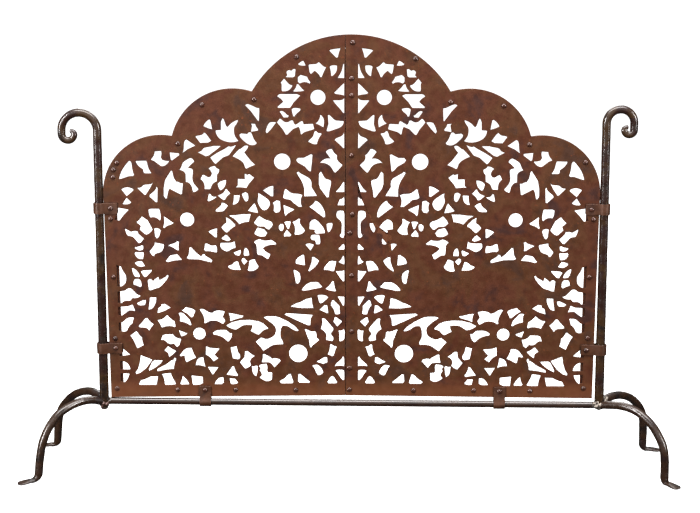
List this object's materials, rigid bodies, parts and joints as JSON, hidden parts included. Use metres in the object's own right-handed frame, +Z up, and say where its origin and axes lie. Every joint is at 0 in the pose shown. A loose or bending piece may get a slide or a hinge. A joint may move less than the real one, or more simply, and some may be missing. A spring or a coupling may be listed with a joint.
{
  "type": "fireplace screen",
  "caption": "Pierced metal panel with a lobed arched top, cut with flowers and vines, held by straps between two scrolled posts on curved forged legs.",
  "frame": {"origin": "on the floor, under the middle of the panel", "axes": "+X to the right along the panel, +Y away from the viewer through the panel, +Z up"},
  "size_m": [1.2259, 0.2264, 0.816],
  "materials": {
    "browned_sheet": "satin, mottled rust-brown patina",
    "frame_bar": "satin, rust-brown",
    "rivet_iron": "satin, rust-brown, rubbed bright on the crowns",
    "strap_iron": "satin, rust-brown",
    "forged_post": "oiled dark forged iron",
    "forged_rail": "oiled forged iron",
    "forged_leg": "oiled dark forged iron",
    "weld_metal": "rough weld",
    "braze_metal": "dull pale braze"
  },
  "bodies": {
    "root": {"left_sheet": "browned_sheet", "right_sheet": "browned_sheet", "left_stile": "frame_bar", "right_stile": "frame_bar", "bottom_bar": "frame_bar", "centre_bar": "frame_bar", "left_outer_strip": "frame_bar", "left_middle_strip": "frame_bar", "right_outer_strip": "frame_bar", "right_middle_strip": "frame_bar", "central_arch_strip": "frame_bar", "left_stile_rivets": "rivet_iron", "right_stile_rivets": "rivet_iron", "bottom_rivets": "rivet_iron", "centre_rivets": "rivet_iron", "lobe_rivets": "rivet_iron", "arch_rivets": "rivet_iron", "post_strap_rivets": "rivet_iron", "rail_strap_rivets": "rivet_iron", "left_upper_strap": "strap_iron", "left_lower_strap": "strap_iron", "right_upper_strap": "strap_iron", "right_lower_strap": "strap_iron", "left_rail_strap": "strap_iron", "right_rail_strap": "strap_iron", "left_post": "forged_post", "right_post": "forged_post", "left_tenon": "forged_post", "right_tenon": "forged_post", "bottom_rail": "forged_rail", "left_front_leg": "forged_leg", "left_back_leg": "forged_leg", "right_front_leg": "forged_leg", "right_back_leg": "forged_leg", "left_weld": "weld_metal", "right_weld": "braze_metal"}
  },
  "joints": []
}
